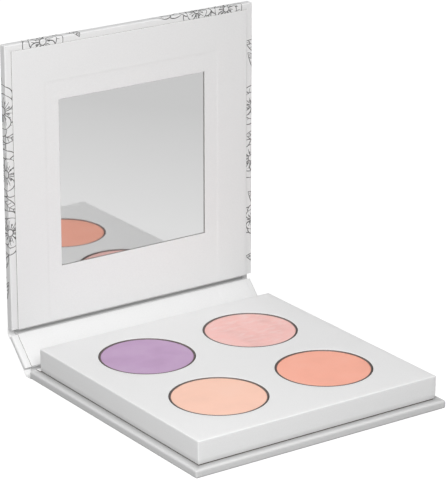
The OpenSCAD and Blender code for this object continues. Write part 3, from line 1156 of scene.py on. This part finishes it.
def ink_run(run, total, start, points, faces, width):
    """A raised ribbon of ink along part of a stroke, tapered to the stroke's two ends."""
    first = len(points)
    for k, (x, y) in enumerate(run):
        x0, y0 = run[max(k - 1, 0)]
        x1, y1 = run[min(k + 1, len(run) - 1)]
        way = Vector((x1 - x0, y1 - y0)).normalized()
        taper = 0.5 + 0.5 * math.sin(math.pi * min(1.0, (start + k) / max(total, 1)))
        half = width / 2 * taper
        for side in (-1, 1):
            flat = unfold(x - side * way.y * half, y + side * way.x * half) or unfold(x, y)
            surface, out = LID_SKIN.at(flat)
            points += [surface + out * INK_RISE, surface - out * INK_ROOT]
    count = len(run)
    for k in range(count - 1):
        a, b = first + 4 * k, first + 4 * (k + 1)
        for m, n in ((0, 2), (2, 3), (3, 1), (1, 0)):
            faces.append([a + m, b + m, b + n, a + n])
    faces.append([first, first + 2, first + 3, first + 1])
    last = first + 4 * (count - 1)
    faces.append([last + 1, last + 3, last + 2, last])


def line_art():
    """Points and faces of all the ink, with the hidden parts of its lines left out."""
    drawing = Drawing(DRAWING_SEED)
    for u, v, heading, size in SPRAYS:
        drawing.spray(u * MM, v * MM, math.radians(heading), size * MM)
    for u, v, heading, length, width in LEAVES:
        drawing.leaf(u * MM, v * MM, math.radians(heading), length * MM, width * MM)
    for u, v, radius in BLOOMS:
        drawing.bloom(u * MM, v * MM, radius * MM)
    points, faces = [], []
    for order, (_, _, strokes) in enumerate(drawing.shapes):
        for number, stroke in enumerate(strokes):
            width = OUTLINE_INK if number < 2 else VEIN_INK
            places = resample(stroke)
            run, begun = [], 0
            for k, place in enumerate([*places, None]):
                shown = place and unfold(*place) and not drawing.hidden(place, order)
                if shown:
                    if not run:
                        begun = k
                    run.append(place)
                elif run:
                    if len(run) > 2:
                        ink_run(run, len(places) - 1, begun, points, faces, width)
                    run = []
    return points, faces


ink_points, ink_faces = line_art()
ink = make("lid_line_art", ink_points, ink_faces, LOOKS["ink"], LID, sharp=60)
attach(ink, "lid")


# ---- Floor, light and camera ----

FLOOR_HALF = 6.0                      # half the floor's side
FLOOR_TONE = 0.15                     # dim for the light that bounces off it, white to the eye
MIRRORED_GLOW = (0.84, 0.65)          # and between these two in the mirror,
FLOOR_FADE = (0.065, 0.19)            # at these distances towards the camera's right
FLOOR_FADE_WAY = (0.8216, -0.570, 0)


def floor():
    mesh = bpy.data.meshes.new("floor")
    corners = [(x * FLOOR_HALF, y * FLOOR_HALF, 0) for x, y in ((-1, -1), (1, -1), (1, 1), (-1, 1))]
    mesh.from_pydata(corners, [], [(0, 1, 2, 3)])
    add_object("floor", mesh)
    look = Look("floor", grey(FLOOR_TONE), 1.0, Specular_IOR_Level=0.0)
    across = look.node("VectorMath")
    across.operation = "DOT_PRODUCT"
    across.inputs[1].default_value = FLOOR_FADE_WAY
    look.link(look.place, across.inputs[0])
    fade = look.map(across.outputs["Value"], *FLOOR_FADE, *MIRRORED_GLOW)
    seen = look.node("LightPath").outputs
    mirrored = look.math("MULTIPLY", fade, seen["Is Glossy Ray"])
    glow = look.math("MAXIMUM", seen["Is Camera Ray"], mirrored)
    look.shader.inputs["Emission Color"].default_value = (1, 1, 1, 1)
    look.link(glow, look.shader.inputs["Emission Strength"])
    mesh.materials.append(look.material)


floor()


def sky(ambient, backdrop):
    """Even soft light, and a white backdrop beyond the floor."""
    world = bpy.data.worlds.new("studio")
    bpy.context.scene.world = world
    world.use_nodes = True
    nodes, links = world.node_tree.nodes, world.node_tree.links
    shader = nodes["Background"]
    shader.inputs["Color"].default_value = (1, 1, 1, 1)
    seen = nodes.new("ShaderNodeLightPath")
    level = nodes.new("ShaderNodeMapRange")
    level.inputs["To Min"].default_value = ambient
    level.inputs["To Max"].default_value = backdrop
    links.new(seen.outputs["Is Camera Ray"], level.inputs["Value"])
    links.new(level.outputs["Result"], shader.inputs["Strength"])


def stand(name, data, place, way):
    """A lamp or camera at a place, facing that way."""
    stood = add_object(name, data)
    stood.location = place
    stood.rotation_mode = "QUATERNION"
    stood.rotation_quaternion = way.to_track_quat("-Z", "Y")
    return stood


LAMP_AIM = Vector((0, 0, 0.02))
LAMP_SIZE = 0.25


def softbox(name, place, watts):
    light = bpy.data.lights.new(name, "AREA")
    light.shape = "SQUARE"
    light.size = LAMP_SIZE
    light.energy = watts
    lamp = stand(name, light, place, LAMP_AIM - Vector(place))
    lamp.visible_camera = False


sky(0.4, 1.0)
softbox("front_key", (-0.15, -0.33, 0.37), 1.15)
softbox("left_key", (-0.33, -0.26, 0.33), 0.9)
softbox("low_key", (-0.31, -0.40, 0.14), 0.34)

CAMERA_TURN, CAMERA_RISE = math.radians(-34.755), math.radians(19.485)
CAMERA_AIM = Vector((5.21, 13.61, 39.98)) * MM
CAMERA_DISTANCE = 0.77197
PHOTO_HEIGHT, FOCAL_PIXELS = 480, 2796.54


def camera():
    data = bpy.data.cameras.new("camera")
    data.sensor_width = 36
    data.lens = FOCAL_PIXELS * data.sensor_width / PHOTO_HEIGHT
    data.clip_start, data.clip_end = 0.01, 20
    level = math.cos(CAMERA_RISE)
    back = Vector((
        math.sin(CAMERA_TURN) * level, -math.cos(CAMERA_TURN) * level, math.sin(CAMERA_RISE)
    ))
    eye = stand("camera", data, CAMERA_AIM + back * CAMERA_DISTANCE, -back)
    bpy.context.scene.camera = eye


camera()
bpy.context.scene.view_settings.view_transform = "Standard"
